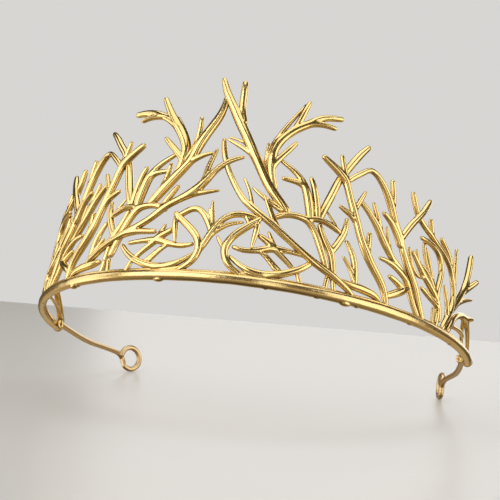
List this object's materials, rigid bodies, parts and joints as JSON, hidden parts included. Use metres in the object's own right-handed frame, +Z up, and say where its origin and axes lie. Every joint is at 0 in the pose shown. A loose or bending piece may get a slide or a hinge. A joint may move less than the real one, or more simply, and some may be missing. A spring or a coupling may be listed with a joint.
{
  "type": "branch tiara",
  "caption": "Open gold-coloured tiara: forked twig sprays rise from an oval band, and wire tails end in loops for pins or a ribbon.",
  "frame": {"origin": "centre of the bounding box, on the level that the two loops stand on", "axes": "+X to the right as seen from the front, +Y from the front to the open back, +Z up along the twigs"},
  "size_m": [0.1481, 0.1508, 0.0682],
  "materials": {
    "band_gold": "polished warm gold plating, slightly uneven from casting",
    "twig_gold": "polished warm gold plating over cast twigs, darker in the crotches",
    "wire_gold": "polished warm gold plating over drawn wire"
  },
  "bodies": {
    "root": {"band_rail": "band_gold", "band_top_wire": "band_gold", "left_end_bead": "band_gold", "right_end_bead": "band_gold", "left_tail": "wire_gold", "right_tail": "wire_gold", "left_loop": "wire_gold", "right_loop": "wire_gold", "left_spire": "twig_gold", "right_spire": "twig_gold", "left_hook_spray": "twig_gold", "right_hook_spray": "twig_gold", "left_long_stem": "twig_gold", "right_long_stem": "twig_gold", "left_arc_stem": "twig_gold", "right_arc_stem": "twig_gold", "left_slim_stems": "twig_gold", "right_slim_stems": "twig_gold", "left_low_stems": "twig_gold", "right_low_stems": "twig_gold", "left_antler": "twig_gold", "right_antler": "twig_gold", "left_cross_stem": "twig_gold", "right_cross_stem": "twig_gold", "left_side_stem": "twig_gold", "right_side_stem": "twig_gold", "left_arch_stem": "twig_gold", "right_arch_stem": "twig_gold", "left_log": "twig_gold", "right_log": "twig_gold", "left_outer_stem": "twig_gold", "right_outer_stem": "twig_gold", "left_reeds": "twig_gold", "right_reeds": "twig_gold", "left_rear_stem": "twig_gold", "right_rear_stem": "twig_gold", "left_fan": "twig_gold", "right_fan": "twig_gold", "left_end_arch": "twig_gold", "right_end_arch": "twig_gold", "left_crescent": "twig_gold", "right_crescent": "twig_gold", "left_scroll_arc": "twig_gold", "right_scroll_arc": "twig_gold", "left_bowl": "twig_gold", "right_bowl": "twig_gold", "left_scroll_stem": "twig_gold", "right_scroll_stem": "twig_gold", "left_footings": "twig_gold", "right_footings": "twig_gold"}
  },
  "joints": []
}
